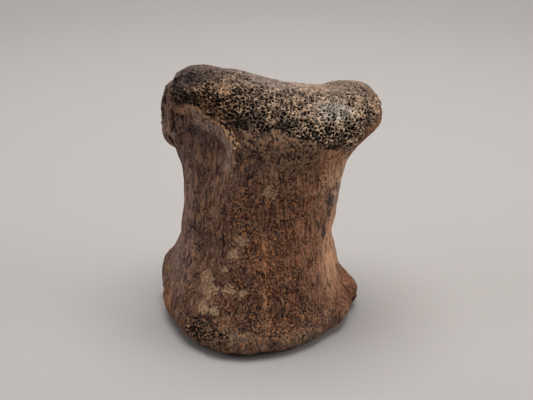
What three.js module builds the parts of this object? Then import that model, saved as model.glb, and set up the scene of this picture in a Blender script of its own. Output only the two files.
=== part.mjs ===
// A fossil toe bone of a hadrosaur, a duck-billed dinosaur, standing on the end that met the foot.
//
// Millimetres, +Z up. The dorsal face, the top of the toe, looks along -Y. The origin is the middle of
// the footprint, on the floor. The bone is one natural piece, so it is one solid: a waisted column,
// rolled over at the top like a knuckle and dished underneath, with lumps grown on and hollows sunk in.
// The solid is first described as a field, negative inside and about the distance from the surface
// outside, and is then wrapped in a net of even faces.
import * as THREE from "three";

// Driving dimensions of the bone
const LENGTH = 80; // from the floor to the top of the higher condyle
const ROOM = { low: [-40, -30, -5], high: [40, 30, 85] }; // the box that the net is made in

// The net of faces
const CELL = 2.13; // edge of its cells
const EVENING = { rounds: 6, share: 0.5 }; // how often and how far its vertices move to even it out
const SLOPE_STEP = 0.05; // over which the slope of the field is taken
const LEAST_SLOPE = 0.5; // keeps a vertex from leaping where the field is nearly level

// The column's reach from the Z axis at each height, as [height, reach] pairs, seen from the front
const LEFT_REACH = [[0, 32.6], [6, 34.2], [13, 33], [20, 30], [28, 27.3], [36, 25.8], [44, 25.4], [51, 26.2],
  [57, 30.4], [63, 32.2], [72, 31.8], [80, 30]];
const RIGHT_REACH = [[0, 27.6], [6, 27.2], [12, 23], [19, 20.9], [28, 19.2], [40, 20.4], [50, 22],
  [56, 24], [61, 28], [67, 33.6], [73, 34.2], [80, 33]];
// and seen from the side, where the front is the dorsal face
const FRONT_REACH = [[0, 30.6], [5, 29.8], [13, 24.8], [24, 19.6], [38, 16.6], [50, 16.8], [57, 18],
  [62, 20.4], [66, 21.8], [80, 21.8]];
const BACK_REACH = [[0, 21.5], [6, 22.5], [14, 19.5], [26, 14.4], [38, 12.6], [48, 14], [57, 18],
  [64, 20.5], [80, 20.5]];
// Where the widest line and the furthest forward line of each level lie
const MIDDLE_X = [[0, -7.5], [12, -6], [35, -2], [55, 1], [80, 1.5]];
const MIDDLE_Y = [[0, 8], [15, 6], [35, 2], [50, 2], [62, 5], [80, 5]];
// How full the four corners of each level are: 1 is a straight slope, 2 an ellipse, 4 nearly square
const FRONT_LEFT = [[0, 2.05], [20, 2.3], [40, 2.6], [50, 2.1], [58, 1.5], [66, 1.35], [73, 1.8], [80, 2]];
const FRONT_RIGHT = [[0, 1.8], [20, 2.1], [40, 2.5], [55, 2.5], [65, 2.7], [80, 2.7]];
const BACK_LEFT = [[0, 2.6], [20, 2.4], [40, 2.3], [60, 2.8], [80, 2.8]];
const BACK_RIGHT = [[0, 2.6], [20, 2.4], [40, 2.3], [60, 2.8], [80, 2.8]];

// The rolled top: its crest from left to right as [x, height] pairs, and its round from front to back
const CREST = [[-34, 74], [-27, 79], [-19, LENGTH], [-12, 79.2], [-5, 77.4], [3, 75.4], [9, 74.2],
  [15, 74.1], [21, 75], [27, 74.8], [34, 71.6]];
const ROLL = { radius: 21, y: 0.5 };
const TOP_EDGE = 9; // how far the roll rounds into the sides

// The dished end that the bone stands on
const DISH_DEPTH = 4.8;
const RIM_EDGE = 6;
const RIM_TURN = { from: 0.68, rise: 2.6 }; // how far the rim turns up again, beyond this share of its reach
const RIM_DIP = 2.55; // how far below the floor the rim's three feet reached before they were worn level
const RIM_LIFT = { front: 1.2, sides: 1.5 }; // how high the rim arches between them

// Lumps grown on the column: middle, half sizes, turn in degrees (about X, then Y, then Z) and how
// softly they join
const LUMPS = [
  { name: "left heel knob", at: [-28.4, 9.5, 9.4], half: [6.8, 8, 8.6], turn: [0, 8, 0], soft: 3 },
  { name: "right heel lip", at: [23.7, 3, 4.3], half: [5.2, 7.6, 3.8], turn: [0, -20, 0], soft: 3 },
  { name: "front right corner", at: [15.2, -8.6, 4.6], half: [7.8, 7.6, 6.8], turn: [0, 0, 0], soft: 5 },
  { name: "heel pad left", at: [-14, 17, 8], half: [10, 6.5, 8], turn: [0, 0, 0], soft: 6 },
  { name: "heel pad right", at: [12, 16, 8], half: [9, 6.5, 8], turn: [0, 0, 0], soft: 6 },
  { name: "rim of the left pit", at: [-8.4, -13.6, 58], half: [3.2, 3.4, 10.5], turn: [0, -2, 0], soft: 3 },
  { name: "left condyle heel", at: [-18, 15, 63], half: [10, 8.5, 12], turn: [-12, 0, 0], soft: 7 },
  { name: "right condyle heel", at: [20, 14.5, 61], half: [10.5, 8, 11], turn: [-12, 0, 0], soft: 7 },
];
// Hollows sunk into it
const HOLLOWS = [
  { name: "left ligament pit", at: [-19.8, -11.4, 57.8], half: [13.3, 5.6, 16], turn: [-7, 0, -32], soft: 3 },
  { name: "run-out of the left pit", at: [-22.5, -14, 45], half: [8, 6, 17], turn: [-4, 0, -35], soft: 6 },
  { name: "neck under the right condyle", at: [17, -20.6, 55], half: [15, 4.6, 8], turn: [0, 0, 4], soft: 3 },
  { name: "right ligament pit", at: [37, 3, 60], half: [5.5, 8, 9], turn: [0, 0, 0], soft: 3 },
  { name: "groove behind the condyles", at: [1, 26, 67], half: [8, 8.5, 17], turn: [-8, 0, 0], soft: 7 },
  { name: "hollow above the heel", at: [-1, 22, 21], half: [15, 7, 11], turn: [10, 0, 0], soft: 6 },
];
// Slow waves of the worn surface
const WAVES = { height: 0.17, length: 12 };

// A smooth curve through [at, value] pairs, level beyond both ends.
function curveThrough(pairs) {
  const last = pairs.length - 1;
  const slopes = pairs.map((_, i) => {
    const before = pairs[Math.max(i - 1, 0)];
    const after = pairs[Math.min(i + 1, last)];
    return (after[1] - before[1]) / (after[0] - before[0]);
  });
  return (at) => {
    if (at <= pairs[0][0]) return pairs[0][1];
    if (at >= pairs[last][0]) return pairs[last][1];
    const i = pairs.findIndex((_, k) => at < pairs[k + 1][0]);
    const gap = pairs[i + 1][0] - pairs[i][0];
    const t = (at - pairs[i][0]) / gap;
    const rise = pairs[i + 1][1] - pairs[i][1];
    const start = slopes[i] * gap - rise;
    const end = rise - slopes[i + 1] * gap;
    return pairs[i][1] + t * rise + t * (1 - t) * (start * (1 - t) + end * t);
  };
}

const leftReach = curveThrough(LEFT_REACH);
const rightReach = curveThrough(RIGHT_REACH);
const frontReach = curveThrough(FRONT_REACH);
const backReach = curveThrough(BACK_REACH);
const middleX = curveThrough(MIDDLE_X);
const middleY = curveThrough(MIDDLE_Y);
const cornersLeft = [curveThrough(FRONT_LEFT), curveThrough(BACK_LEFT)];
const cornersRight = [curveThrough(FRONT_RIGHT), curveThrough(BACK_RIGHT)];
const crest = curveThrough(CREST);

// The larger and the smaller of two fields, with the edge between them rounded over `soft`.
function softMax(a, b, soft) {
  const near = Math.max(soft - Math.abs(a - b), 0) / soft;
  return Math.max(a, b) + near * near * soft * 0.25;
}
const softMin = (a, b, soft) => -softMax(-a, -b, soft);

// How far out a point lies on the level at height z: 0 in the middle, 1 on the outline.
function outwards(x, y, z) {
  const across = x - middleX(z);
  const along = y - middleY(z);
  const width = across < 0 ? leftReach(z) + middleX(z) : rightReach(z) - middleX(z);
  const depth = along < 0 ? frontReach(z) + middleY(z) : backReach(z) - middleY(z);
  const full = (across < 0 ? cornersLeft : cornersRight)[along < 0 ? 0 : 1](z);
  return (Math.abs(across / width) ** full + Math.abs(along / depth) ** full) ** (1 / full);
}

// Distance from the side of the column
function column(p) {
  const out = Math.max(outwards(p.x, p.y, p.z), 1e-3);
  return Math.hypot(p.x - middleX(p.z), p.y - middleY(p.z)) * (1 - 1 / out);
}

// Distance above the rolled top, whose sides spread below the axis of the roll
function roll(p) {
  const aboveAxis = p.z - (crest(p.x) - ROLL.radius);
  return Math.hypot(p.y - ROLL.y, Math.max(aboveAxis, 0)) - ROLL.radius + Math.min(aboveAxis, 0);
}

// Distance below the dished end. Its rim stands on three feet, at both sides of the front and at the
// back, arches off the floor between them, and turns up again towards its edge.
function dish(p) {
  const out = outwards(p.x, p.y, 2);
  const around = Math.atan2(p.y - middleY(0), p.x - middleX(0));
  const front = (1 - Math.sin(around)) / 2;
  const lift = RIM_LIFT.front * front + RIM_LIFT.sides * (1 - front);
  const arch = lift * Math.min(out, 1) * (1 + Math.sin(3 * around)) / 2;
  const turn = RIM_TURN.rise * (Math.max(out - RIM_TURN.from, 0) / (1 - RIM_TURN.from)) ** 2;
  return DISH_DEPTH * (1 - out * out) + arch + turn - RIM_DIP - p.z;
}

// Turns each lump or hollow into a function that gives the distance from its ellipsoid.
function ellipsoid({ at, half, turn }) {
  const angles = turn.map(THREE.MathUtils.degToRad);
  const inward = new THREE.Matrix4()
    .makeRotationFromEuler(new THREE.Euler(...angles, "ZYX"))
    .setPosition(...at)
    .invert();
  const size = new THREE.Vector3(...half);
  const q = new THREE.Vector3();
  return (p) => {
    const share = q.copy(p).applyMatrix4(inward).divide(size).length();
    const steepness = q.divide(size).length();
    return steepness ? (share * (share - 1)) / steepness : -Math.min(...half);
  };
}
const lumps = LUMPS.map((lump) => ({ distance: ellipsoid(lump), soft: lump.soft }));
const hollows = HOLLOWS.map((hollow) => ({ distance: ellipsoid(hollow), soft: hollow.soft }));

// Two trains of waves at odd angles, bent by each other so that no pattern shows
function waves(p) {
  const turns = (across, along, up) => (2 * Math.PI * (across * p.x + along * p.y + up * p.z)) / WAVES.length;
  const bend = Math.sin(turns(0.5, -0.3, 0.4)) + Math.cos(turns(-0.2, 0.6, 0.3));
  return WAVES.height * (Math.sin(turns(0.8, 0.3, 0.5) + bend) + Math.sin(turns(-0.4, 0.7, 0.6) + 2 * bend));
}

// The whole bone: negative inside
function bone(p) {
  let d = column(p);
  for (const lump of lumps) d = softMin(d, lump.distance(p), lump.soft);
  d = softMax(d, roll(p), TOP_EDGE);
  d = softMax(d, dish(p), RIM_EDGE);
  for (const hollow of hollows) d = softMax(d, -hollow.distance(p), hollow.soft);
  return d + waves(p);
}

// Wraps a field in a closed net: one vertex in each cell that the surface passes through, and one
// square across each cell edge that it crosses.
function wrap(field, low, high, cell) {
  const count = high.clone().sub(low).divideScalar(cell).ceil().addScalar(1).toArray();
  const [nx, ny, nz] = count;
  const steps = [1, nx, nx * ny];
  const values = new Float64Array(nx * ny * nz);
  const corner = (i, j, k) => new THREE.Vector3(i, j, k).multiplyScalar(cell).add(low);
  for (let k = 0; k < nz; k++)
    for (let j = 0; j < ny; j++)
      for (let i = 0; i < nx; i++) values[i + nx * j + nx * ny * k] = field(corner(i, j, k));
  while (openPinches(values, steps));

  const points = [];
  const vertexOf = new Map();
  for (let k = 0; k < nz - 1; k++)
    for (let j = 0; j < ny - 1; j++)
      for (let i = 0; i < nx - 1; i++) {
        const crossing = cellCrossing(values, steps, i + nx * j + nx * ny * k);
        if (!crossing) continue;
        vertexOf.set(i + nx * j + nx * ny * k, points.length);
        points.push(crossing.multiplyScalar(cell).add(corner(i, j, k)));
      }

  const faces = [];
  const inRange = (c, axis) => c[(axis + 1) % 3] > 0 && c[(axis + 2) % 3] > 0;
  for (let k = 0; k < nz - 1; k++)
    for (let j = 0; j < ny - 1; j++)
      for (let i = 0; i < nx - 1; i++)
        for (let axis = 0; axis < 3; axis++) {
          const here = i + nx * j + nx * ny * k;
          const inside = values[here] < 0;
          if (inside === values[here + steps[axis]] < 0 || !inRange([i, j, k], axis)) continue;
          const u = steps[(axis + 1) % 3];
          const v = steps[(axis + 2) % 3];
          const [a, b, c, d] = [here, here - u, here - u - v, here - v].map((n) => vertexOf.get(n));
          faces.push(...(inside ? [a, b, c, a, c, d] : [a, c, b, a, d, c]));
        }
  return { points, faces };
}

// The net would touch itself in a square of the grid with two opposite corners inside and two outside.
// The corner nearest to the surface changes sides there. Tells whether there was such a square.
function openPinches(values, steps) {
  let found = false;
  for (let n = 0; n < values.length - steps[1] - steps[2]; n++)
    for (let axis = 0; axis < 3; axis++) {
      const u = steps[(axis + 1) % 3];
      const v = steps[(axis + 2) % 3];
      const square = [n, n + u, n + u + v, n + v];
      const [a, b, c, d] = square.map((at) => values[at] < 0);
      if (a !== c || b !== d || a === b) continue;
      const nearest = square.reduce((m, at) => (Math.abs(values[at]) < Math.abs(values[m]) ? at : m));
      values[nearest] = -values[nearest];
      found = true;
    }
  return found;
}

// The mean of where the surface crosses a cell's twelve edges, in cells from its lowest corner
function cellCrossing(values, steps, base) {
  const sum = new THREE.Vector3();
  let crossings = 0;
  for (let axis = 0; axis < 3; axis++)
    for (const du of [0, 1])
      for (const dv of [0, 1]) {
        const [u, v] = [(axis + 1) % 3, (axis + 2) % 3];
        const start = base + du * steps[u] + dv * steps[v];
        const [from, to] = [values[start], values[start + steps[axis]]];
        if (from < 0 === to < 0) continue;
        const place = [0, 0, 0];
        place[axis] = from / (from - to);
        place[u] = du;
        place[v] = dv;
        sum.add(new THREE.Vector3(...place));
        crossings += 1;
      }
  return crossings ? sum.divideScalar(crossings) : null;
}

// Moves a point straight onto the surface of the field.
function settle(field, p) {
  const here = field(p);
  const slope = new THREE.Vector3(
    field(p.clone().setX(p.x + SLOPE_STEP)) - here,
    field(p.clone().setY(p.y + SLOPE_STEP)) - here,
    field(p.clone().setZ(p.z + SLOPE_STEP)) - here,
  ).divideScalar(SLOPE_STEP);
  return p.addScaledVector(slope, -here / Math.max(slope.lengthSq(), LEAST_SLOPE ** 2));
}

// Evens out the net: each vertex moves towards the middle of its neighbours and back onto the surface.
function even(points, faces, field) {
  const neighbours = points.map(() => new Set());
  for (let f = 0; f < faces.length; f += 3)
    for (let side = 0; side < 3; side++) {
      neighbours[faces[f + side]].add(faces[f + ((side + 1) % 3)]);
      neighbours[faces[f + ((side + 1) % 3)]].add(faces[f + side]);
    }
  for (let round = 0; round < EVENING.rounds; round++) {
    const middles = neighbours.map((around) => {
      const middle = new THREE.Vector3();
      around.forEach((n) => middle.add(points[n]));
      return middle.divideScalar(around.size);
    });
    points.forEach((p, i) => settle(field, settle(field, p.lerp(middles[i], EVENING.share))));
  }
}

// Wears the lowest points of the rim level with the floor.
function wearLevel(points) {
  for (const p of points) p.setZ(Math.max(p.z, 0));
}

function makeBone() {
  const { points, faces } = wrap(bone, new THREE.Vector3(...ROOM.low), new THREE.Vector3(...ROOM.high), CELL);
  even(points, faces, bone);
  wearLevel(points);
  const geometry = new THREE.BufferGeometry().setFromPoints(points).setIndex(faces);
  geometry.computeBoundingBox();
  const { x, y } = geometry.boundingBox.getCenter(new THREE.Vector3());
  geometry.translate(-x, -y, 0);
  geometry.computeVertexNormals();
  return geometry;
}

const fossilBrown = new THREE.MeshStandardMaterial({ color: 0x5a4334, roughness: 0.82, metalness: 0 });

const toeBone = new THREE.Mesh(makeBone(), fossilBrown);
toeBone.name = "toe_bone";

const part = new THREE.Group();
part.add(toeBone);

export default part;
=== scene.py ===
# A fossil toe bone of a hadrosaur, standing on its dished end in soft studio light.
#
# Sizes and places are in millimetres in the part's own frame: the front of the bone looks along -Y.
# The bone's surface is worked in three steps: ridges, cracks and chips are shaped on a fine mesh, then
# its pores and fibres are pressed in by Geometry Nodes, and then the material colours the same pattern.
import math

import bpy
import numpy as np
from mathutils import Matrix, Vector


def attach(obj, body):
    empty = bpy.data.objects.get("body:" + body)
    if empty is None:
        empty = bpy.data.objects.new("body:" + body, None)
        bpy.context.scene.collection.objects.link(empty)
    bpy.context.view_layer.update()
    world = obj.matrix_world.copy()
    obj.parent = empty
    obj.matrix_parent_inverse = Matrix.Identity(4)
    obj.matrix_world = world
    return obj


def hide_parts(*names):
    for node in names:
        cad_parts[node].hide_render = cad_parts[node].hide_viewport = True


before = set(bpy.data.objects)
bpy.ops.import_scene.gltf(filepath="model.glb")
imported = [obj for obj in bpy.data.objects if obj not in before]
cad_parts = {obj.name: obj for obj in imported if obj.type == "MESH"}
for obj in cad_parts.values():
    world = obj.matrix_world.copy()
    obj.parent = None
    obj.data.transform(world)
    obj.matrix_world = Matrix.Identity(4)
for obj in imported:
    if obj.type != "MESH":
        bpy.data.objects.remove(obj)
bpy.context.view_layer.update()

MM = 0.001

# The fine mesh
VOXEL = 0.24
ROUNDING_LEVELS = 2
SMOOTHING_ROUNDS = 12
WAIST = {"height": 0.35, "foot": (10, 20), "top": (60, 70)}
MOST_TRIANGLES = 195_000

# Where the worn, spongy knuckle ends, as (x, z) on the front and on the back
KNUCKLE_FRONT = [(-34, 78), (-31, 76.5), (-28.4, 74.5), (-26, 72.3), (-24, 70), (-21.8, 70.5), (-19.5, 70.3),
                 (-17.3, 68.8), (-15.9, 67.5), (-13.9, 66.8), (-11.5, 66.4), (-9.2, 67.1), (-6.8, 68.2),
                 (-1.3, 68.4), (3.6, 67.6), (7.5, 66), (12.5, 64.6), (18, 63.3), (20.9, 61.6), (24.4, 60.8),
                 (26.3, 62.6), (28, 65.2), (30.6, 67.3), (34, 69.5)]
KNUCKLE_BACK = [(-34, 64), (-27, 56), (-18, 51.5), (-9, 56), (0, 62), (9, 56), (20, 50), (28, 53), (34, 60)]
FRONT_TO_BACK = (0, 9)  # the y between which the front's edge turns into the back's
# The crest of the knuckle kept its fine-grained skin, from this y at each x back to `back`
CREST_FRONT = [(-32, 6), (-26, 3.5), (-12, 2), (0, 0.5), (8, 0), (15, 1.5), (30, 4)]
CREST_SKIN = {"back": 13.0, "soft": 2.0}
# Half the thickness of the walls between the knuckle's pores, and what is added to it in some places
WALL = {"plain": 0.125, "left": -0.035, "lower edge": -0.03, "pale patch": 0.065, "skin": 0.12}
PALE_PATCH = ((19, -8, 71.4), (8, 9, 4))

# The broken rim of the ligament pit, from its left end over the top and down its right side
PIT_RIM = [(-24.1, -2.9, 71.5), (-21.8, -3.2, 72), (-19.5, -3.6, 71.8), (-17.3, -3.5, 70.3),
           (-15.9, -3.7, 69), (-13.9, -5.1, 68.3), (-11.5, -7.4, 67.9), (-10.3, -8.3, 66.6),
           (-9.8, -8.7, 65.3), (-8.9, -9.5, 64.1), (-8.1, -10.6, 63), (-7.5, -11.5, 61.6),
           (-7.2, -11.9, 59.6), (-7.6, -11.1, 56.9), (-8.2, -11, 54.1), (-9.1, -11.1, 51), (-10.6, -10, 48)]
PIT_MIDDLE = (-17, -6.4, 59)

# The lip along that rim is drawn out in strands, with a narrow ledge along its middle
LIP_STRANDS = {"reach": 1.2, "apart": 1.2, "height": 0.5}
LEDGE = {"width": 0.55, "height": 0.8}
# A bank runs from the lip down into the pit, to a hollow past its foot
BANK_HEIGHT = {"plain": 0.3, "strands": 0.12}
PIT_HOLLOW = {"from rim": 7.8, "width": 2.2, "depth": 0.9}
FULL_ABOVE_PIT = 0.5

# How far the spongy layer stands proud of the shaft
SPONGE_PROUD = 0.28
# Swells of the surface: their height, their size and the seed of their waves
SWELLS = {
    "broad": (0.10, 4.5, 5), "small": (0.05, 2.0, 6), "on the knuckle": (0.07, 0.8, 10),
    "on the rim": (0.12, 2.6, 8), "small on the rim": (0.08, 1.3, 9),
}

# Cracks; here and below, a name only says which one is meant
CRACKS = [
    {"name": "in the left lobe", "width": 0.7, "depth": 0.9,
     "path": [(-26.9, 0.3, 68.3), (-26.9, 1.3, 66), (-26.6, 1.5, 64), (-27, 1.8, 61.9)]},
    {"name": "beside it", "width": 0.6, "depth": 0.6, "path": [(-23.9, -0.5, 67.1), (-23.9, -0.1, 65.5)]},
    {"name": "foot of the left lobe", "width": 0.65, "depth": 0.8,
     "path": [(-27.3, 2, 60.2), (-26.7, 1.5, 59), (-26.5, 1.5, 57.7), (-26, 1.5, 55.8)]},
    {"name": "under the lip", "width": 0.35, "depth": 0.4,
     "path": [(-17.8, -3.3, 70.2), (-16.5, -3.5, 69.5)]},
    {"name": "farther along the lip", "width": 0.35, "depth": 0.4,
     "path": [(-14.4, -5, 69.5), (-13.5, -5.6, 68.8)]},
    {"name": "down the left of the middle", "width": 0.3, "depth": 0.4,
     "path": [(-11.9, -11.5, 38.5), (-12.2, -12.5, 34.7), (-11.9, -13.6, 31.6), (-12.4, -14.6, 28.6)]},
    {"name": "across the left corner", "width": 0.25, "depth": 0.3,
     "path": [(-23.8, -2.6, 34), (-21.9, -4.7, 33.7), (-19.6, -6.6, 32.9)]},
    {"name": "above the heel", "width": 0.3, "depth": 0.35,
     "path": [(-22, -9, 24.6), (-22.4, -9.2, 22.8)]},
]
# Orange mineral veins that stand up a little
VEINS = [
    {"name": "down the middle", "width": 0.42, "height": 0.2,
     "path": [(-0.6, -16, 33.5), (-0.1, -15.5, 31.4), (0.3, -16.2, 29.2), (-0.2, -16.7, 26.8),
              (0.1, -17, 24.3), (-0.9, -17.6, 22.6)]},
    {"name": "below it", "width": 0.2, "height": 0.1,
     "path": [(-0.4, -18.4, 19.8), (0.2, -19.3, 17.2), (-0.2, -20.4, 14.4)]},
    {"name": "beside it", "width": 0.22, "height": 0.1, "path": [(-3.4, -16.6, 26.4), (-3.8, -17.2, 24)]},
]
# Small vessel holes, with their radius and depth
HOLES = [
    ((14.1, -12, 18), 0.55, 0.7), ((18.3, -7.9, 14.2), 0.5, 0.6), ((10.4, -16.1, 15.6), 0.5, 0.6),
    ((11.3, -15.7, 14.4), 0.4, 0.5), ((-4.2, -13.6, 43), 0.4, 0.4), ((-1.4, -13.7, 45.2), 0.4, 0.4),
    ((-5.4, -13.4, 40.7), 0.4, 0.4), ((-7.1, -13.9, 35.8), 0.4, 0.4), ((-17, -12.5, 26.1), 0.4, 0.4),
    ((-22.2, -9, 23.5), 0.5, 0.5), ((-20.6, -7.6, 29.2), 0.4, 0.4), ((-19.9, -12.4, 21.6), 0.45, 0.5),
    ((2, 15.6, 34), 0.6, 0.8), ((-6, 16.1, 40), 0.5, 0.6), ((8, 16.6, 27), 0.5, 0.7),
    ((21, 4.6, 30), 0.45, 0.5), ((-26, 5.6, 40), 0.45, 0.5), ((-3, 16.6, 24), 0.7, 0.8),
]
# Chips knocked out of the edges
CHIPS = [
    ((-26, 5.4, 79.6), 1.2, 0.7), ((-31.8, 7.4, 72.4), 1.3, 0.6),
    ((28.4, -2.6, 4.3), 2.2, 1.3), ((30.6, 2.8, 5.6), 1.6, 0.7), ((24.2, -9.9, 2.6), 1.7, 0.8),
    ((33.6, 3.1, 67.5), 1.8, 0.7), ((33.2, 0.6, 72), 1.4, 0.5), ((-33, 3.6, 7), 1.6, 0.7),
]
# Low bumps and dents, with their reach and height
BUMPS = [
    ((-28.2, 2.6, 60), (3, 5, 2.6), 1.3), ((-27.2, 2.6, 55), (3, 5, 1.8), -0.9),
    ((-28.4, 0.6, 66), (2.2, 4, 3), 0.4), ((-24.6, -1, 66.4), (1.6, 3, 3), -0.3),
    ((-27.1, 7, 75.6), (1.6, 7, 1.3), -0.9), ((-24.4, 7, 78.6), (1.3, 5, 0.9), -0.5),
    ((-30, 0, 8), (3, 5, 3), 0.5), ((-30.6, -2, 13), (3, 5, 1.8), -0.5), ((0, -20, 1), (15, 7, 3), 0.5),
    ((-6, -23, 1.2), (9, 5, 2.6), -0.6),
]
# Ridges along the shaft
RIDGES = [
    {"name": "left corner", "width": 1.6, "height": 0.35,
     "path": [(-24.2, 0.6, 38), (-25, -1.6, 27.7), (-26.6, -4.1, 20.4), (-27.4, -8, 13.9)]},
    {"name": "beside it", "width": 1.1, "height": 0.25,
     "path": [(-22.5, -2.4, 40), (-23.4, -4.9, 30), (-24.6, -7.9, 22)]},
    {"name": "right corner", "width": 1.5, "height": 0.3,
     "path": [(19.3, -8.4, 52), (18.6, -8.1, 40), (18.8, -7.8, 28), (21.2, -6.4, 16)]},
]


def srgb(red, green, blue):
    """A linear colour from the eight-bit one that it shows as."""
    shown = np.array([red, green, blue]) / 255
    return np.where(shown <= 0.04045, shown / 12.92, ((shown + 0.055) / 1.055) ** 2.4)


# What stains the bone, and where shade is painted: its name, place, reach and colour, and how much of what
# is under it it covers
STAINS = [
    ("back of the shaft", (0, 17.6, 35), (24, 9, 24), (106, 76, 57), 0.9),
    ("left flank", (-26, -0.4, 40), (7, 12, 22), (114, 92, 87), 0.95),
    ("grey corner", (-27, -4.4, 22), (4, 6, 12), (113, 94, 90), 0.7),
    ("left lobe", (-28, 3.6, 66), (5, 10, 9), (110, 88, 84), 0.9),
    ("top of the pit", (-19.6, -1.8, 64), (5.5, 6, 4.4), (92, 74, 72), 0.9),
    ("under the top of its rim", (-20, -2.2, 69.4), (5.5, 5, 2.6), (182, 140, 114), 0.8),
    # Painted shade: the deepest part of the pit is darkened
    ("painted shade deep in the pit", (-17.6, -2.4, 64.6), (2.6, 5, 3), (60, 48, 50), 0.7),
    ("foot of the pit", (-17, -9.4, 55), (7, 6, 9), (116, 92, 84), 0.75),
    ("under the knuckle", (-1, -13.5, 59), (10, 6, 7), (102, 78, 68), 0.9),
    ("red middle", (6, -16.4, 24), (8, 7, 15), (98, 60, 46), 0.8),
    ("red under the knuckle", (15, -11.4, 54), (9, 7, 7), (117, 78, 58), 0.8),
    ("under the right end", (29, -5, 64), (5, 9, 5), (150, 108, 80), 0.9),
    ("right front", (14, -11.4, 38), (6, 6, 14), (148, 104, 82), 0.8),
    ("smooth right flank", (20, -1.4, 24), (5, 9, 15), (188, 143, 113), 1.0),
    ("upper right flank", (20.6, -2.6, 50), (5, 8, 8), (196, 164, 142), 0.9),
    ("left of the middle", (-16.8, -8, 37), (4.5, 6, 17), (80, 57, 48), 0.75),
    ("low front", (-2, -21, 13), (18, 8, 7.5), (71, 46, 36), 0.8),
    ("dark middle of the foot", (1, -21.4, 11), (6, 5, 5), (70, 44, 34), 0.7),
    ("right of the middle", (2.5, -14.2, 38), (5, 5, 6), (112, 79, 62), 0.5),
    ("under the spongy edge", (8, -13, 55.5), (5, 5, 3.4), (112, 84, 68), 0.5),
    ("under the right end's front", (19.6, -10.4, 57), (4, 6, 6), (190, 142, 110), 0.8),
    ("dark under the spongy edge", (-1, -13.4, 61), (6, 5, 3), (84, 67, 58), 0.6),
    ("above the right lip", (24, -6, 12), (4, 6, 4), (104, 70, 53), 0.6),
    ("right lip", (29, 2.6, 8), (6, 9, 6), (142, 96, 70), 0.8),
    ("foot of the lip", (27.8, 0, 7), (2.6, 5, 3.4), (88, 58, 44), 0.85),
    ("dark edge of the lip", (31, 3.6, 6), (2.4, 6, 3), (63, 43, 35), 0.8),
    ("front chin", (2, -23.4, 3), (24, 10, 5), (112, 90, 75), 0.8),
    ("rim right of the chin", (11, -20.6, 2.6), (10, 5, 2.4), (98, 82, 70), 0.75),
    ("grey-green patch", (-7.8, -25.4, 7), (3.4, 3, 2.4), (100, 88, 72), 0.6),
    ("left heel", (-31, 7.6, 10), (7, 9, 9), (80, 60, 51), 0.8),
    ("rust on the heel", (-30, -4.4, 8), (5, 5, 4), (124, 76, 47), 0.7),
    # Painted shade: the underside and the foot of the chin are darkened where the bone meets the floor
    ("painted shade on the underside", (0, 1.6, 0), (30, 26, 2.4), (70, 54, 45), 0.85),
    ("painted shade under the chin", (2, -23.4, -0.6), (26, 8, 1.8), (56, 44, 38), 0.85),
    ("sulphur speck", (-30.6, 3.6, 15), (1, 1.2, 1), (164, 134, 50), 0.9),
]
BROWN = srgb(102, 72, 61)

# The same for the struts of the spongy knuckle, with painted light on one patch
WEB_STAINS = [
    ("left half", (-18, -6, 75), (12, 14, 8), (190, 148, 114), 0.8),
    ("left end", (-27, 1, 75), (9, 14, 8), (98, 76, 62), 0.85),
    ("top of the left condyle", (-20, 5, 80), (13, 11, 6), (86, 71, 66), 0.9),
    ("over the pit", (-14, -9, 74), (6, 4, 3), (190, 150, 112), 0.6),
    ("crest", (4, 5, 77), (18, 8, 3), (130, 113, 104), 0.9),
    ("blue-grey patch", (20, -8, 71.2), (5, 4, 2.6), (156, 156, 152), 0.6),
    ("right end", (31, -2, 69), (6, 10, 8), (190, 158, 130), 0.8),
    # Partly painted light: these struts are tan, made paler still where the surface faces down into shade
    ("front of the right end, with painted light", (20.6, -13, 64), (7, 5, 3.4), (214, 182, 150), 0.8),
    ("top of the right condyle", (26, 4, 76), (9, 8, 4), (112, 95, 84), 0.8),
    ("left base", (-18, -19, 5), (14, 8, 6), (192, 152, 116), 0.7),
    ("middle of the spongy edge", (2, -14, 68), (5, 5, 3), (116, 92, 76), 0.5),
]
CREAM = srgb(174, 147, 123)

# Patches where pale rock still clings
ROCK = [
    ((-17, -14.7, 21.6), 2.9), ((-16.2, -16.4, 18.4), 3.4), ((-18.2, -18.4, 13.8), 2.6),
    ((-14.9, -20, 13.4), 2.1), ((-10.8, -18.1, 19.2), 2.1), ((-6.4, -18.7, 18.8), 1.6),
    ((-11.7, -15.7, 25.2), 1.3), ((-6.6, -14.2, 34), 2.5), ((-9, -14.6, 29.6), 2.2),
    ((1.5, -13.9, 49.1), 2.8), ((8, -14.9, 42), 1.8), ((4, 16.6, 44), 3), ((-10, 16.6, 30), 3.4),
    ((12, 17.6, 16), 3.6), ((-30, 11.6, 20), 2.6), ((22, 7.6, 18), 2.8),
]
# Where the rim is most corroded, where the grain is calm and where the lobe has none, with their reach
CORRODED = ((-18, -20.4, 7), (11, 9, 5))
CALM_FLANK = ((20, -2.4, 26), (5, 10, 20))
CALM_CHIN = ((10, -22, 2.6), (11, 6, 2.4))
LEFT_LOBE = ((-27, 2, 66), (4, 8, 8))
# Blue-black marks down the right flank, with their reach
MARKS = [
    ((18.9, -7.9, 44.4), (1.8, 3, 4)), ((20.8, -6, 47.5), (1.2, 3, 2.4)), ((18.9, -6.8, 39.6), (1, 3, 1.8)),
    ((17.2, -8.1, 33.6), (0.9, 3, 3.4)), ((15.6, -9.2, 37), (0.6, 3, 1.6)),
]
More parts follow.
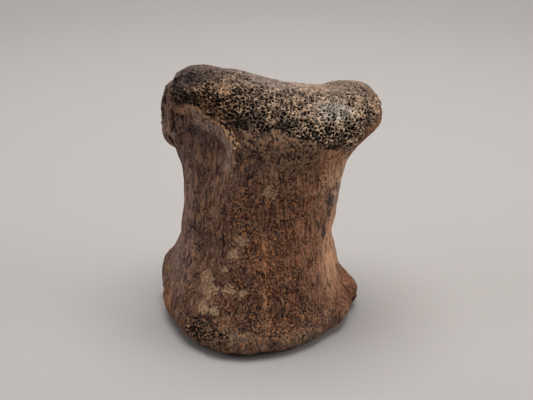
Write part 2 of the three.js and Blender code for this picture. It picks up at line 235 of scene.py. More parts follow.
# Where orange flecks gather
FLECKS = [
    ((-9.4, -12.6, 45.1), 3), ((-10.6, -12.3, 42.1), 3), ((5, -14.2, 32), 3.5), ((-7.2, -14.1, 34.6), 3),
    ((-7.1, -13, 44.9), 4), ((-8.5, -12.8, 41.7), 4), ((3.8, -14.5, 31.8), 5), ((-5.7, -13.9, 36.7), 5),
    ((0.9, -15.8, 28), 5), ((9, -16.4, 12), 4), ((-14, -22.4, 6), 5), ((-16, -10.4, 52), 5),
    ((10, -13.4, 38), 6), ((2, 16.6, 34), 9), ((-27, 3.6, 30), 6),
]


def smoothstep(value, low, high):
    share = np.clip((value - low) / (high - low), 0, 1)
    return share * share * (3 - 2 * share)


def through(pairs, at):
    """The value at `at` of a line through (at, value) pairs."""
    ats, values = zip(*pairs)
    return np.interp(at, ats, values)


def blob(points, at, reach):
    """1 at a place, falling off to nothing within about twice its reach."""
    away = (points - np.array(at)) / np.array(reach)
    return np.exp(-(away**2).sum(1))


def on_surface(points, place):
    """The point of the surface that is seen at a place, looking level from the front or the back."""
    away = np.abs(points - np.array(place, float)) * np.array([1, 0.2, 1])
    return points[np.argmin((away**2).sum(1))]


def from_path(points, path):
    """How far each point is from a line through several places, and how far along it, from 0 to 1."""
    corners = np.array(path, float)
    best = np.full(len(points), np.inf)
    along = np.zeros(len(points))
    for i in range(len(corners) - 1):
        start = corners[i]
        run = corners[i + 1] - start
        share = np.clip((points - start) @ run / (run @ run), 0, 1)
        away = np.linalg.norm(points - start - share[:, None] * run, axis=1)
        nearer = away < best
        best[nearer] = away[nearer]
        along[nearer] = (i + share[nearer]) / (len(corners) - 1)
    return best, along


def ripple(points, size, seed, waves=24):
    """A smooth random swell of about -1 to 1, whose bumps are `size` across."""
    random = np.random.default_rng(seed)
    headings = random.normal(size=(waves, 3))
    headings /= np.linalg.norm(headings, axis=1)[:, None]
    lengths = size * random.uniform(1.2, 3, waves)
    phases = random.uniform(0, 2 * np.pi, waves)
    swell = np.zeros(len(points))
    for heading, length, phase in zip(headings, lengths, phases):
        swell += np.sin(2 * np.pi / length * (points @ heading) + phase)
    return swell / np.sqrt(waves)


def swell(points, name):
    """One of the surface's swells, in millimetres."""
    high, size, seed = SWELLS[name]
    return high * ripple(points, size, seed)


def stained(points, ground, stains):
    """A colour for each point: the ground, with the stains, and the patches of painted shade and light, laid
    over it in turn.
    """
    colour = np.tile(ground, (len(points), 1))
    for _, at, reach, tone, most in stains:
        share = np.clip(1.6 * blob(points, at, reach), 0, 1) * most
        colour += share[:, None] * (srgb(*tone) - colour)
    return colour


def applied(holder):
    """Leaves a mesh object with the mesh that its modifiers make, and with no modifiers."""
    depsgraph = bpy.context.evaluated_depsgraph_get()
    mesh = bpy.data.meshes.new_from_object(holder.evaluated_get(depsgraph))
    holder.modifiers.clear()
    holder.data = mesh
    return holder


def fine_copy(node):
    """A smooth copy of the bone's solid in small, even faces."""
    piece = bpy.data.objects.new("fossil_toe_bone", node.data.copy())
    bpy.context.scene.collection.objects.link(piece)
    piece.data.materials.clear()
    weld = piece.modifiers.new("weld", "WELD")
    weld.merge_threshold = 0.001 * MM
    rounding = piece.modifiers.new("rounding", "SUBSURF")
    rounding.levels = ROUNDING_LEVELS
    rounding.render_levels = ROUNDING_LEVELS
    faces = piece.modifiers.new("faces", "REMESH")
    faces.mode = "VOXEL"
    faces.voxel_size = VOXEL * MM
    smoothing = piece.modifiers.new("smoothing", "SMOOTH")
    smoothing.iterations = SMOOTHING_ROUNDS
    return applied(piece)


def read(mesh):
    """The mesh's points in millimetres and the directions that they face."""
    count = len(mesh.vertices)
    points = np.empty(count * 3)
    mesh.vertices.foreach_get("co", points)
    facing = np.empty(count * 3, np.float32)
    mesh.vertex_normals.foreach_get("vector", facing)
    return points.reshape(-1, 3) / MM, facing.reshape(-1, 3).astype(float)


def write(mesh, points):
    mesh.vertices.foreach_set("co", (points * MM).ravel())
    mesh.update()


def store(mesh, name, values):
    """Keeps a number, or three, at each vertex."""
    kind, key = ("FLOAT_VECTOR", "vector") if values.ndim == 2 else ("FLOAT", "value")
    attribute = mesh.attributes.new(name, kind, "POINT")
    attribute.data.foreach_set(key, values.astype(np.float32).ravel())


def into_knuckle(points):
    """How far above the worn knuckle's edge a point lies, in millimetres."""
    x, y, z = points.T
    back = smoothstep(y, *FRONT_TO_BACK)
    edge = through(KNUCKLE_FRONT, x) * (1 - back) + through(KNUCKLE_BACK, x) * back
    return z - edge


def pit_share(points):
    """1 in the ligament pit and 0 outside it."""
    corners = np.array([on_surface(points, place) for place in PIT_RIM])
    away, along = from_path(points, corners)
    # The way into the pit, square to the rim at each of its corners
    run = np.gradient(corners, axis=0)
    run /= np.linalg.norm(run, axis=1)[:, None]
    inward = np.array(PIT_MIDDLE) - corners
    inward -= (inward * run).sum(1)[:, None] * run
    inward /= np.linalg.norm(inward, axis=1)[:, None]
    order = np.linspace(0, 1, len(corners))
    nearest = np.stack([np.interp(along, order, part) for part in corners.T], 1)
    inward = np.stack([np.interp(along, order, part) for part in inward.T], 1)
    side = ((points - nearest) * inward).sum(1)
    in_reach = smoothstep(points[:, 2], 40, 52) * (points[:, 1] < 4) * smoothstep(-points[:, 0], 4, 7)
    in_reach *= smoothstep(-points[:, 2], -75.5, -73.5)
    return smoothstep(side, -0.4, 0.9) * in_reach, side, away, along


def pit_relief(points, side, away, along):
    """The heights round the pit, and where its lip, the lip's strands and the bank are."""
    x, _, z = points.T
    # The bone above the pit is full up to the pit's rim, where a lip stands up
    above = smoothstep(-side, -0.2, 1.2) * (1 - smoothstep(-side, 3, 6)) * smoothstep(z, 62, 66)
    height = FULL_ABOVE_PIT * above * smoothstep(-away, -7, -5) * smoothstep(-x, 8, 12)
    lip = np.exp(-((side / LIP_STRANDS["reach"]) ** 2)) * (away < 4) * smoothstep(along, 0, 0.24)
    lip *= smoothstep(1 - along, 0, 0.2)
    turns = (side + 0.25 * ripple(points, 1.5, seed=14)) / LIP_STRANDS["apart"]
    strands = 0.5 + 0.5 * np.cos(2 * np.pi * turns)
    height += LIP_STRANDS["height"] * lip * (strands + 0.3 * ripple(points, 1.2, seed=7))
    ledge = np.exp(-((side / LEDGE["width"]) ** 2)) * (1 + 0.35 * ripple(points, 1.0, seed=15))
    height += LEDGE["height"] * lip * ledge
    # A smooth bank runs down from it into the pit
    bank = smoothstep(side, 0.3, 1.1) * smoothstep(-side, -6.4, -3.6) * smoothstep(-away, -8, -6)
    bank *= smoothstep(along, 0.02, 0.15) * smoothstep(1 - along, 0.02, 0.2)
    height += bank * (BANK_HEIGHT["plain"] + BANK_HEIGHT["strands"] * strands)
    hollow = np.exp(-(((side - PIT_HOLLOW["from rim"]) / PIT_HOLLOW["width"]) ** 2))
    height -= PIT_HOLLOW["depth"] * hollow * smoothstep(along, 0.1, 0.4) * (away < 12)
    return height, lip, strands, bank


def shape(mesh):
    """Works the ridges, cracks, holes and chips into the fine mesh, and notes what lies where."""
    points, facing = read(mesh)
    z = points[:, 2]
    knuckle = into_knuckle(points) + 0.8 * ripple(points, 3, seed=3)
    pit, side, rim_away, rim_along = pit_share(points)

    height = swell(points, "broad") + swell(points, "small")
    height += swell(points, "on the knuckle") * smoothstep(knuckle, -1, 3)
    # What the smoothing took off the waist
    height += WAIST["height"] * smoothstep(z, *WAIST["foot"]) * (1 - smoothstep(z, *WAIST["top"]))
    # The spongy layer stands a little proud of the shaft, with the skin broken away along its edge
    height += SPONGE_PROUD * smoothstep(knuckle, -0.6, 0.8) * (1 - pit)
    raised, lip, strands, bank = pit_relief(points, side, rim_away, rim_along)
    height += raised
    # The rim that the bone stands on is rough and corroded
    base = smoothstep(9 - z, 0, 6)
    height += base * (swell(points, "on the rim") + swell(points, "small on the rim"))
    for at, reach, up in BUMPS:
        height += up * blob(points, on_surface(points, at), reach)
    for ridge in RIDGES:
        away, along = from_path(points, [on_surface(points, place) for place in ridge["path"]])
        ends = smoothstep(along, 0, 0.2) * smoothstep(1 - along, 0, 0.2)
        height += ridge["height"] * np.exp(-((away / ridge["width"]) ** 2)) * ends
    cracks = np.zeros(len(points))
    for crack in CRACKS:
        path = [on_surface(points, place) for place in crack["path"]]
        away, _ = from_path(points + 0.25 * np.stack([ripple(points, 1.6, seed=11)] * 3, 1), path)
        groove = np.exp(-((away / crack["width"]) ** 2))
        height -= crack["depth"] * groove
        cracks = np.maximum(cracks, groove)
    veins = np.zeros(len(points))
    for vein in VEINS:
        path = [on_surface(points, place) for place in vein["path"]]
        away, _ = from_path(points + 0.3 * np.stack([ripple(points, 1.1, seed=13)] * 3, 1), path)
        ridge = np.exp(-((away / vein["width"]) ** 2))
        height += vein["height"] * ridge
        veins = np.maximum(veins, ridge)
    for at, radius, depth in HOLES:
        away = np.linalg.norm(points - on_surface(points, at), axis=1)
        hole = 1 - smoothstep(away, radius * 0.5, radius * 1.2)
        height -= depth * hole
        cracks = np.maximum(cracks, hole)
    for at, radius, depth in CHIPS:
        away = np.linalg.norm(points - on_surface(points, at), axis=1) + 0.35 * ripple(points, 1.5, seed=12)
        height -= depth * (1 - smoothstep(away, radius * 0.4, radius * 1.3))

    points += facing * height[:, None]
    points[:, 2] = np.maximum(points[:, 2], 0)
    write(mesh, points)
    note(mesh, points, facing, knuckle, pit, cracks, veins, lip, strands, bank)


def note(mesh, points, facing, knuckle, pit, cracks, veins, lip, strands, bank):
    """Keeps what lies where, for the pores, the fibres and the colours."""
    x, y, z = points.T
    crest = y - through(CREST_FRONT, x) + 0.8 * ripple(points, 2.5, seed=20)
    soft = CREST_SKIN["soft"]
    skin = smoothstep(crest, -soft, soft)
    skin *= 1 - smoothstep(y, CREST_SKIN["back"] - soft, CREST_SKIN["back"] + soft)
    skin *= smoothstep(facing[:, 2], 0.2, 0.7)
    rim_left = blob(points, *CORRODED)
    rim_all = smoothstep(5.5 - z, 0, 5) * (0.55 + 0.45 * (ripple(points, 6, seed=21) > 0))
    store(mesh, "rest", points)
    store(mesh, "tone", stained(points, BROWN, STAINS))
    store(mesh, "web", stained(points, CREAM, WEB_STAINS))
    store(mesh, "knuckle", knuckle)
    store(mesh, "skin", skin)
    store(mesh, "pit", pit)
    store(mesh, "cracks", cracks)
    store(mesh, "lip", np.clip(1.4 * lip, 0, 1) * (1 - 0.5 * smoothstep(-z, -64, -61)))
    store(mesh, "strands", strands + 0.3 * smoothstep(z, 63, 66) * lip)
    store(mesh, "corroded", np.clip(np.maximum(1.3 * rim_left, 0.55 * rim_all), 0, 1))
    store(mesh, "rock", np.max([blob(points, at, reach) for at, reach in ROCK], axis=0))
    store(mesh, "marked", np.max([blob(points, at, reach) for at, reach in MARKS], axis=0))
    store(mesh, "flecked", np.max([blob(points, at, reach) for at, reach in FLECKS], axis=0))
    store(mesh, "calm", np.clip(1.5 * blob(points, *CALM_FLANK) + 0.8 * blob(points, *CALM_CHIN), 0, 1))
    wall = WALL["plain"] + WALL["left"] * smoothstep(-x, -6, 20) + WALL["skin"] * skin
    wall += WALL["lower edge"] * (1 - smoothstep(knuckle, 1, 8))
    wall += WALL["pale patch"] * blob(points, *PALE_PATCH)
    store(mesh, "wall", wall)
    finer = smoothstep(knuckle, 7, 11) + 0.3 * ripple(points, 5, seed=22)
    store(mesh, "finer", np.clip(finer, 0, 1))
    store(mesh, "earth", 0.25 + 0.55 * smoothstep(x, -12, 12))
    faded = smoothstep(knuckle, -15, -7) * smoothstep(x, -9, -4) * smoothstep(-x, -21, -13) * (1 - pit)
    store(mesh, "faded", np.clip(faded + 0.25 * ripple(points, 4, seed=23) * faded, 0, 1))
    store(mesh, "vein", veins)
    lobe = np.clip(1.5 * blob(points, *LEFT_LOBE), 0, 1)
    streaked = np.clip(smoothstep(-x, 8, 18) + pit, 0, 1) * (1 - lobe) * (1 - 0.8 * smoothstep(z, 63, 68))
    store(mesh, "streaked", streaked)
    store(mesh, "threaded", streaked * (1 - smoothstep(z, 54, 62)))
    store(mesh, "bank", bank)


class Nodes:
    """Adds nodes to a shader or geometry tree by short calls, and gives back their output sockets."""

    def __init__(self, tree):
        self.tree = tree

    def add(self, kind, values=None, **settings):
        node = self.tree.nodes.new(kind)
        for name, setting in settings.items():
            setattr(node, name, setting)
        for key, value in (values or {}).items():
            if isinstance(value, bpy.types.NodeSocket):
                self.tree.links.new(value, node.inputs[key])
            else:
                node.inputs[key].default_value = value
        return node

    def number(self, operation, a, b=0.0, clamp=False):
        return self.add("ShaderNodeMath", {0: a, 1: b}, operation=operation, use_clamp=clamp).outputs[0]

    def product(self, a, b):
        return self.number("MULTIPLY", a, b)

    def vector(self, operation, a, b):
        return self.add("ShaderNodeVectorMath", {0: a, 1: b}, operation=operation).outputs[0]

    def scaled(self, a, by):
        return self.add("ShaderNodeVectorMath", {0: a, "Scale": by}, operation="SCALE").outputs[0]

    def parts(self, vector):
        """The three numbers of a vector."""
        return self.add("ShaderNodeSeparateXYZ", {0: vector}).outputs[:]

    def step(self, value, low, high, start=0.0, end=1.0):
        """Goes smoothly from start to end as value goes from low to high."""
        values = {"Value": value, "From Min": low, "From Max": high, "To Min": start, "To Max": end}
        return self.add("ShaderNodeMapRange", values, interpolation_type="SMOOTHSTEP").outputs[0]

    def between(self, share, a, b):
        """The number that lies that share of the way from a to b."""
        return self.add("ShaderNodeMix", {0: share, 2: a, 3: b}, data_type="FLOAT").outputs[0]

    def blend(self, share, under, over):
        """The colour that lies that share of the way from one to the other."""
        values = {0: share, 6: self.paint(under), 7: self.paint(over)}
        return self.add("ShaderNodeMix", values, data_type="RGBA").outputs[2]

    def paint(self, colour):
        return colour if isinstance(colour, bpy.types.NodeSocket) else (*[float(c) for c in colour], 1.0)

    def attribute(self, name, vector=False):
        if self.tree.bl_idname == "GeometryNodeTree":
            kind = "FLOAT_VECTOR" if vector else "FLOAT"
            return self.add("GeometryNodeInputNamedAttribute", {"Name": name}, data_type=kind).outputs[0]
        node = self.add("ShaderNodeAttribute", attribute_name=name)
        return node.outputs["Vector" if vector else "Fac"]

    def noise(self, place, size, detail=2.0, rough=0.5, out=0):
        """Cloudy noise from 0 to 1 whose clouds are about `size` across, a number or three."""
        across = size if isinstance(size, tuple) else (size, size, size)
        scaled = self.vector("MULTIPLY", place, tuple(1 / length for length in across))
        values = {"Vector": scaled, "Scale": 1.0, "Detail": detail, "Roughness": rough}
        return self.add("ShaderNodeTexNoise", values).outputs[out]

    def from_walls(self, place, size):
        """How far a place is from the walls between random cells that are about `size` across."""
        values = {"Vector": place, "Scale": 1 / size, "Randomness": 0.95}
        cells = self.add("ShaderNodeTexVoronoi", values, feature="DISTANCE_TO_EDGE")
        return self.product(cells.outputs["Distance"], size)


# The pores of spongy bone: how far apart the big and the small ones are, how much their walls bend and
# fray, how much thicker or thinner those are in patches, and how deep the pores go, in the open and in skin
PORE = {"size": 1.08, "small": 0.9, "bend": 0.65, "ragged": 0.35, "patches": 0.3, "depth": 0.7,
        "skin depth": 0.21}
# The sizes of the patterns on the shaft: across it in two directions, and along it
GRAIN = {
    "coarse fibres": (0.8, 0.8, 7.0), "fine fibres": (0.32, 0.32, 2.0), "grit": (0.6, 0.6, 0.85),
    "specks": (0.55, 0.55, 0.75), "lines": (0.7, 0.7, 7.0), "seams": (1.3, 1.3, 16.0),
    "hues": (2.4, 2.4, 3.2), "broken marks": (0.9, 0.9, 2.4), "faded speckle": (0.75, 0.75, 0.9),
    "broken lip": (0.75, 0.75, 0.95),
}
# How far the long grain drifts to the side and over what length, and how high and deep the relief is
SWAY = {"far": 1.7, "length": 7.0}
RELIEF = {"fibres": 0.55, "pits": 0.2}


def pore_depth(nodes, place):
    """How far a place lies inside a pore, in millimetres; below 0 it is on a strut."""
    bend = nodes.vector("SUBTRACT", nodes.noise(place, 1.1, detail=1.0, out=1), (0.5, 0.5, 0.5))
    bent = nodes.vector("ADD", place, nodes.scaled(bend, 2 * PORE["bend"]))
    big = nodes.from_walls(bent, PORE["size"])
    small = nodes.from_walls(bent, PORE["small"])
    away = nodes.between(nodes.attribute("finer"), big, small)
    # Struts thicken, thin out and break
    ragged = nodes.number("SUBTRACT", nodes.noise(place, 0.8, detail=1.0), 0.5)
    away = nodes.number("ADD", away, nodes.product(ragged, PORE["ragged"]))
    patches = nodes.number("SUBTRACT", 0.5, nodes.noise(place, 3.5, detail=1.0))
    wall = nodes.number("ADD", nodes.attribute("wall"), nodes.product(patches, PORE["patches"]))
    return nodes.number("SUBTRACT", away, wall)


def pores(nodes, place):
    """How open the spongy bone is at each place: 0 on its struts and 1 in its pores."""
    return nodes.step(pore_depth(nodes, place), -0.04, 0.06)


def pore_cover(nodes, place):
    """How much of the spongy pattern shows: 1 on the worn knuckle, less on the corroded base."""
    ragged = nodes.number("SUBTRACT", nodes.noise(place, 2.0, detail=3.0, rough=0.6), 0.5)
    edge = nodes.number("ADD", nodes.attribute("knuckle"), nodes.product(ragged, 7.0))
    worn = nodes.step(edge, -1.5, 0.3)
    rotten = nodes.noise(place, 1.2, detail=2.0, rough=0.6)
    rotten = nodes.number("ADD", rotten, nodes.product(nodes.attribute("corroded"), 0.3))
    worn = nodes.number("MAXIMUM", worn, nodes.step(rotten, 0.66, 0.84))
    return nodes.product(worn, nodes.step(nodes.attribute("pit"), 0.2, 0.8, 1.0, 0.0))


def swayed(nodes, place):
    """The place, moved so that the long grain drifts a little from side to side."""
    sway = nodes.noise(place, SWAY["length"], detail=1.0, out=1)
    sway = nodes.vector("SUBTRACT", sway, (0.5, 0.5, 0.5))
    return nodes.vector("ADD", place, nodes.scaled(sway, SWAY["far"]))


def fibres(nodes, place):
    """The long grain of the shaft, from 0 to 1."""
    along = swayed(nodes, place)
    coarse = nodes.noise(along, GRAIN["coarse fibres"], detail=2.0, rough=0.6)
    fine = nodes.noise(along, GRAIN["fine fibres"], detail=2.0, rough=0.65)
    return nodes.between(0.55, coarse, fine)


def grit(nodes, place):
    """Small pits and grains all over the shaft, from 0 to 1."""
    return nodes.noise(place, GRAIN["grit"], detail=2.0, rough=0.6)


def press_in(piece):
    """Presses the pores, fibres and pits into the surface."""
    tree = bpy.data.node_groups.new("press_in", "GeometryNodeTree")
    tree.interface.new_socket("Geometry", in_out="INPUT", socket_type="NodeSocketGeometry")
    tree.interface.new_socket("Geometry", in_out="OUTPUT", socket_type="NodeSocketGeometry")
    nodes = Nodes(tree)
    start = tree.nodes.new("NodeGroupInput")
    place = nodes.attribute("rest", vector=True)
    cover = pore_cover(nodes, place)
    depth = nodes.between(nodes.attribute("skin"), PORE["depth"], PORE["skin depth"])
    sunk = nodes.product(nodes.product(pores(nodes, place), cover), depth)
    plain = nodes.number("SUBTRACT", 1.0, cover)
    grain = nodes.product(nodes.number("SUBTRACT", fibres(nodes, place), 0.5), RELIEF["fibres"])
    pits = nodes.step(grit(nodes, place), 0.30, 0.42, RELIEF["pits"], 0.0)
    raised = nodes.product(nodes.number("SUBTRACT", grain, pits), plain)
    height = nodes.number("SUBTRACT", raised, sunk)
    facing = nodes.add("GeometryNodeInputNormal").outputs[0]
    offset = nodes.scaled(facing, nodes.product(height, MM))
    moved = nodes.add("GeometryNodeSetPosition", {"Geometry": start.outputs[0], "Offset": offset})
    end = tree.nodes.new("NodeGroupOutput")
    tree.links.new(moved.outputs[0], end.inputs[0])
    modifier = piece.modifiers.new("press_in", "NODES")
    modifier.node_group = tree
    return applied(piece)


def thin_out(piece):
    """Drops the faces that the shape can do without, and sets the bone down on the floor."""
    triangles = sum(len(face.vertices) - 2 for face in piece.data.polygons)
    fewer = piece.modifiers.new("fewer", "DECIMATE")
    fewer.ratio = min(1.0, MOST_TRIANGLES / triangles)
    applied(piece)
    points, _ = read(piece.data)
    points[:, 2] = np.maximum(points[:, 2], 0)
    write(piece.data, points)
    piece.data.polygons.foreach_set("use_smooth", [True] * len(piece.data.polygons))
    return piece


# Colours that are laid over the stains
# Painted shade: the near black that stands for the dark inside pores, cracks and holes
HOLE_SHADE = srgb(20, 14, 14)
ORANGE = srgb(202, 132, 76)
VEIN_TONE = srgb(210, 146, 98)
TAN = srgb(172, 130, 96)
GREY_TAN = srgb(128, 106, 86)
RUST = srgb(112, 62, 42)
ROCK_TONE = srgb(172, 142, 112)
FADED_TONES = {"light": srgb(140, 118, 96), "dark": srgb(34, 28, 26)}
# The lip's own pale strands, and the dark that is painted shade in the grooves between them
LIP_TONES = {"light": srgb(222, 176, 134), "dark": srgb(34, 25, 22)}
# Near black: the bone's own dark specks and lines, and painted shade in its pits and pinholes
INK_AND_PIT_SHADE = srgb(26, 21, 21)
MARK_TONE = srgb(50, 46, 52)
BANK_TONE = srgb(176, 150, 132)


def shaft_colour(nodes, place):
    """Stained brown bone: long grain, black pinholes and pits of painted shade, pale and orange flecks,
    crusts of rock.
    """
    streaked = nodes.attribute("streaked")
    calm = nodes.attribute("calm")
    flecked = nodes.attribute("flecked")
    tone = nodes.attribute("tone", vector=True)
    bank = nodes.scaled(tuple(BANK_TONE), nodes.step(nodes.attribute("strands"), 0.1, 0.9, 0.6, 1.15))
    tone = nodes.blend(nodes.product(nodes.attribute("bank"), 0.75), tone, bank)
    greyer, rustier, busier = nodes.parts(nodes.noise(place, GRAIN["hues"], detail=2.0, rough=0.6, out=1))
    streaks = nodes.step(fibres(nodes, place), 0.34, 0.66, 0.62, 1.7)
    clouds = nodes.step(nodes.noise(place, 4.0, detail=2.0), 0.35, 0.65, 0.8, 1.3)
    # Long dark seams run down the shaft
    seams = nodes.noise(swayed(nodes, place), GRAIN["seams"], detail=1.0)
    clouds = nodes.product(clouds, nodes.step(seams, 0.36, 0.48, 0.66, 1.06))
    light = nodes.product(streaks, clouds)
    plain = nodes.number("SUBTRACT", 1.0, nodes.number("MAXIMUM", calm, nodes.product(streaked, 0.7)))
    tone = nodes.blend(nodes.product(nodes.step(greyer, 0.54, 0.66, 0.0, 0.35), plain), tone, GREY_TAN)
    tone = nodes.blend(nodes.product(nodes.step(rustier, 0.52, 0.66, 0.0, 0.6), plain), tone, RUST)
    # What is lighter is also yellower
    colour = nodes.blend(nodes.step(light, 1.0, 2.2, 0.0, 0.35), nodes.scaled(tone, light), TAN)
    # Specks are thick in some places and thin in others
    even = nodes.number("MAXIMUM", nodes.product(streaked, 0.5), nodes.product(calm, 0.85))
    busy = nodes.number("SUBTRACT", nodes.step(busier, 0.38, 0.6, 0.3, 1.0), even, clamp=True)
    specks, sparks, holes = nodes.parts(nodes.noise(place, GRAIN["specks"], detail=0.0, out=1))
    colour = nodes.blend(nodes.product(nodes.step(specks, 0.54, 0.64, 0.0, 0.6), busy), colour, TAN)
    colour = nodes.blend(nodes.product(nodes.step(specks, 0.36, 0.46, 0.7, 0.0), busy), colour, INK_AND_PIT_SHADE)
    # Painted shade: pinholes, coloured near black where no hole is cut
    colour = nodes.blend(nodes.product(nodes.step(holes, 0.28, 0.34, 0.95, 0.0), busy), colour, INK_AND_PIT_SHADE)
    # Painted shade: the pressed-in pits are coloured near black for the dark inside them
    dark = nodes.number("ADD", grit(nodes, place), nodes.product(calm, 0.08))
    dark = nodes.number("SUBTRACT", dark, nodes.product(flecked, 0.03))
    colour = nodes.blend(nodes.step(dark, 0.33, 0.38, 0.95, 0.0), colour, INK_AND_PIT_SHADE)
    lines = nodes.noise(swayed(nodes, place), GRAIN["lines"], detail=1.0, out=1)
    lines, threads, _ = nodes.parts(lines)
    colour = nodes.blend(nodes.step(lines, 0.32, 0.38, 0.6, 0.0), colour, INK_AND_PIT_SHADE)
    threads = nodes.product(nodes.step(threads, 0.58, 0.66, 0.0, 0.7), nodes.attribute("threaded"))
    colour = nodes.blend(threads, colour, TAN)
    sparks = nodes.number("ADD", sparks, nodes.product(flecked, 0.09))
    sparks = nodes.number("SUBTRACT", sparks, nodes.product(nodes.number("MAXIMUM", calm, streaked), 0.06))
    colour = nodes.blend(nodes.step(sparks, 0.735, 0.79, 0.0, 0.85), colour, ORANGE)
    broken = nodes.number("SUBTRACT", nodes.noise(place, GRAIN["broken marks"], detail=2.0, rough=0.6), 0.5)
    marked = nodes.number("ADD", nodes.attribute("marked"), nodes.product(broken, 2.2))
    colour = nodes.blend(nodes.step(marked, 0.45, 0.7, 0.0, 0.8), colour, MARK_TONE)
    return crusted(nodes, place, colour)


def crusted(nodes, place, colour):
    """Lays the pale rock over a colour, in ragged, pitted patches."""
    ragged = nodes.number("SUBTRACT", nodes.noise(place, 1.5, detail=3.0, rough=0.65), 0.5)
    rock = nodes.number("ADD", nodes.attribute("rock"), nodes.product(ragged, 1.4))
    pitted = nodes.step(nodes.noise(place, 0.7, detail=1.0), 0.36, 0.46, 0.0, 1.0)
    share = nodes.product(nodes.step(rock, 0.48, 0.7, 0.0, 0.85), pitted)
    mottled = nodes.step(nodes.noise(place, 0.75, detail=1.0), 0.35, 0.65, 0.65, 1.3)
    return nodes.blend(share, colour, nodes.scaled(tuple(ROCK_TONE), mottled))


def spongy_colour(nodes, place):
    """Cream and grey struts, brightest along their middles and dark at their feet in painted shade, round
    black pores of painted shade.
    """
    skin = nodes.attribute("skin")
    web = nodes.attribute("web", vector=True)
    depth = pore_depth(nodes, place)
    # Painted shade: struts are darkened in patches as if they lay deeper, and near the knuckle's lower edge,
    # less on the skin
    deep = nodes.step(nodes.noise(place, 2.0, detail=2.0), 0.34, 0.62, 0.5, 1.1)
    deep = nodes.between(nodes.product(skin, 0.5), deep, 1.0)
    deep = nodes.product(deep, nodes.step(nodes.attribute("knuckle"), -1.0, 4.0, 0.85, 1.0))
    # Painted light and shade: struts are lightened along their middles and darkened at their feet
    ridge = nodes.step(depth, -0.1, 0.04, 1.1, 0.4)
    fine = nodes.step(nodes.noise(place, 0.9, detail=1.0), 0.38, 0.62, 0.65, 1.2)
    web = nodes.scaled(web, nodes.product(nodes.product(deep, fine), ridge))
    # Some pores are filled with brown earth
    filled = nodes.step(nodes.noise(place, 1.8, detail=1.0), 0.56, 0.66, 0.0, nodes.attribute("earth"))
    hollow = nodes.blend(filled, HOLE_SHADE, nodes.scaled(nodes.attribute("web", vector=True), 0.22))
    # Painted shade: open pores that no earth fills are coloured near black for the dark inside them
    opened = nodes.product(nodes.step(depth, -0.04, 0.06), nodes.between(skin, 1.0, 0.75))
    return nodes.blend(opened, web, hollow)


def faded_colour(nodes, place):
    """The fine, low speckle of spongy bone that is nearly worn away."""
    speckle, hue, _ = nodes.parts(nodes.noise(place, GRAIN["faded speckle"], detail=1.0, out=1))
    clouds = nodes.noise(place, 2.5, detail=1.0)
    speckle = nodes.number("ADD", speckle, nodes.product(nodes.number("SUBTRACT", clouds, 0.5), 0.6))
    pale = nodes.blend(nodes.step(hue, 0.45, 0.6), FADED_TONES["light"], TAN)
    return nodes.blend(nodes.step(speckle, 0.42, 0.58), FADED_TONES["dark"], pale)


def bone_colour(nodes, place):
    faded = nodes.product(nodes.attribute("faded"), 0.45)
    faded = nodes.number("ADD", nodes.noise(place, 1.4, detail=3.0, rough=0.65), faded)
    faded = nodes.step(faded, 0.68, 1.05, 0.0, 0.9)
    plain = nodes.blend(faded, shaft_colour(nodes, place), faded_colour(nodes, place))
    colour = nodes.blend(pore_cover(nodes, place), plain, spongy_colour(nodes, place))
    lip = nodes.attribute("lip")
    broken = nodes.product(nodes.noise(place, GRAIN["broken lip"], detail=0.0), 2.4)
    strands = nodes.number("ADD", nodes.attribute("strands"), broken)
    # Where the lip is low, it is only a row of flecks
    worn = nodes.number("SUBTRACT", strands, nodes.step(lip, 0.0, 1.0, 0.8, 0.0))
    bright = nodes.product(nodes.step(lip, 0.05, 0.4), nodes.step(worn, 1.7, 1.9))
    colour = nodes.blend(bright, colour, LIP_TONES["light"])
    # Painted shade: the grooves between the lip's strands are coloured dark
    slit_shade = nodes.product(lip, nodes.step(strands, 1.1, 1.35, 0.8, 0.0))
    colour = nodes.blend(slit_shade, colour, LIP_TONES["dark"])
    gaps = nodes.step(nodes.noise(place, 1.1, detail=1.0), 0.38, 0.48)
    colour = nodes.blend(nodes.product(nodes.attribute("vein"), gaps), colour, VEIN_TONE)
    # Painted shade: cracks and vessel holes are coloured near black for the dark inside them
    return nodes.blend(nodes.step(nodes.attribute("cracks"), 0.3, 0.8, 0.0, 0.9), colour, HOLE_SHADE)


def bone_material():
    material = bpy.data.materials.new("fossil_bone")
    material.use_nodes = True
    tree = material.node_tree
    tree.nodes.clear()
    nodes = Nodes(tree)
    place = nodes.attribute("rest", vector=True)
    colour = bone_colour(nodes, place)
    rough = nodes.step(nodes.noise(place, 1.2, detail=2.0), 0.3, 0.7, 0.62, 0.85)
    fine = nodes.noise(place, 0.28, detail=2.0, rough=0.6)
    surface = nodes.number("ADD", nodes.product(fibres(nodes, place), 0.5), fine)
    bump = nodes.add("ShaderNodeBump", {"Height": surface, "Strength": 0.7, "Distance": 0.2 * MM})
    values = {"Base Color": colour, "Roughness": rough, "Normal": bump.outputs[0]}
    shader = nodes.add("ShaderNodeBsdfPrincipled", {**values, "Specular IOR Level": 0.12})
    output = nodes.add("ShaderNodeOutputMaterial")
    tree.links.new(shader.outputs[0], output.inputs["Surface"])
    return material


def make_bone():
    piece = fine_copy(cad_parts["toe_bone"])
    shape(piece.data)
    press_in(piece)
    thin_out(piece)
    piece.data.materials.append(bone_material())
    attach(piece, "root")
    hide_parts("toe_bone")
    return piece


# The studio
SWEEP = {"floor": 420, "bend": 500, "height": 700, "rings": 24, "turns": 96}
PAPER = srgb(176, 172, 170)
# Painted shade: the sweep's front wall is coloured dark to stand for the unlit room behind the camera
ROOM_SHADE = srgb(40, 38, 36)  # the dark room behind the camera


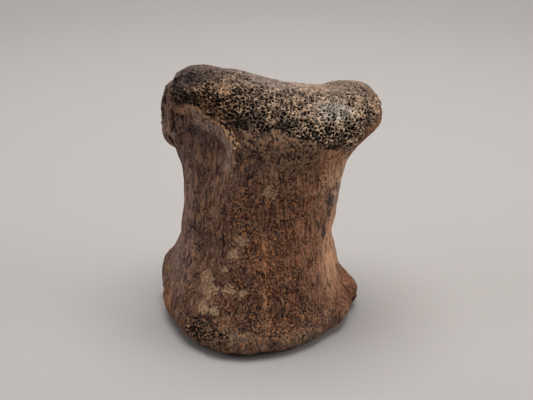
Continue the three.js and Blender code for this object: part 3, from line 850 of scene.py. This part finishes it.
def make_sweep():
    """A pale floor that curves up into a wall all round, the wall in front painted dark as shade."""
    floor = SWEEP["floor"]
    bend = SWEEP["bend"]
    profile = [(0.0, 0.0), (floor, 0.0)]
    for i in range(1, SWEEP["rings"] + 1):
        angle = math.pi / 2 * i / SWEEP["rings"]
        profile.append((floor + bend * math.sin(angle), bend * (1 - math.cos(angle))))
    profile.append((floor + bend, SWEEP["height"]))
    points = [(0.0, 0.0, 0.0)]
    for reach, up in profile[1:]:
        for turn in range(SWEEP["turns"]):
            angle = 2 * math.pi * turn / SWEEP["turns"]
            points.append((reach * math.cos(angle) * MM, reach * math.sin(angle) * MM, up * MM))
    faces = []
    count = SWEEP["turns"]
    for turn in range(count):
        faces.append((0, 1 + turn, 1 + (turn + 1) % count))
        for ring in range(len(profile) - 2):
            low = 1 + ring * count
            high = low + count
            faces.append((low + turn, high + turn, high + (turn + 1) % count, low + (turn + 1) % count))
    mesh = bpy.data.meshes.new("sweep")
    mesh.from_pydata(points, [], faces)
    mesh.polygons.foreach_set("use_smooth", [True] * len(mesh.polygons))
    sweep = bpy.data.objects.new("sweep", mesh)
    bpy.context.scene.collection.objects.link(sweep)
    material = bpy.data.materials.new("paper")
    material.use_nodes = True
    shader = material.node_tree.nodes["Principled BSDF"]
    nodes = Nodes(material.node_tree)
    _, y, z = nodes.parts(nodes.add("ShaderNodeNewGeometry").outputs[0])
    # Painted shade: the wall in front of the bone, behind the camera, is coloured dark
    front = nodes.step(y, -0.15, -0.5)
    room = nodes.product(front, nodes.step(z, 0.02, 0.25))
    material.node_tree.links.new(nodes.blend(room, PAPER, ROOM_SHADE), shader.inputs["Base Color"])
    shader.inputs["Roughness"].default_value = 0.9
    shader.inputs["Specular IOR Level"].default_value = 0.1
    mesh.materials.append(material)


def aim(thing, at, towards):
    thing.location = Vector(at) * MM
    thing.rotation_euler = (Vector(towards) - Vector(at)).to_track_quat("-Z", "Y").to_euler()


LIGHTS = [
    {"name": "overhead", "at": (15, 25, 620), "size": 520, "power": 3.7, "colour": (1.0, 0.98, 0.96)},
    {"name": "right", "at": (560, -110, 330), "size": 380, "power": 1.15, "colour": (1.0, 0.97, 0.94)},
    {"name": "backdrop", "at": (0, 200, 560), "towards": (0, 900, 160), "size": 300, "power": 1.3,
     "colour": (1.0, 0.99, 0.98)},
    {"name": "left", "at": (-560, -110, 380), "size": 380, "power": 0.7, "colour": (0.92, 0.96, 1.0)},
]
WORLD = {"colour": (0.80, 0.80, 0.80, 1.0), "strength": 0.3}
MIDDLE = (0, 0, 40)


def make_lights():
    for lamp in LIGHTS:
        data = bpy.data.lights.new(lamp["name"], "AREA")
        data.shape = "DISK"
        data.size = lamp["size"] * MM
        data.energy = lamp["power"]
        data.color = lamp["colour"]
        light = bpy.data.objects.new(lamp["name"], data)
        bpy.context.scene.collection.objects.link(light)
        aim(light, lamp["at"], lamp.get("towards", MIDDLE))
    world = bpy.data.worlds.new("studio")
    world.use_nodes = True
    background = world.node_tree.nodes["Background"]
    background.inputs["Color"].default_value = WORLD["colour"]
    background.inputs["Strength"].default_value = WORLD["strength"]
    bpy.context.scene.world = world


# The camera looks down on the bone's front
CAMERA = {"at": (0.47, -242.8, 153.38), "towards": (0.47, 0, 40.16), "lens": 60, "sensor": 36}


def make_camera():
    data = bpy.data.cameras.new("camera")
    data.lens = CAMERA["lens"]
    data.sensor_width = CAMERA["sensor"]
    data.clip_start = 0.01
    data.clip_end = 10
    camera = bpy.data.objects.new("camera", data)
    bpy.context.scene.collection.objects.link(camera)
    aim(camera, CAMERA["at"], CAMERA["towards"])
    bpy.context.scene.camera = camera


make_camera()
make_lights()
make_sweep()
make_bone()
bpy.context.scene.view_settings.view_transform = "Standard"
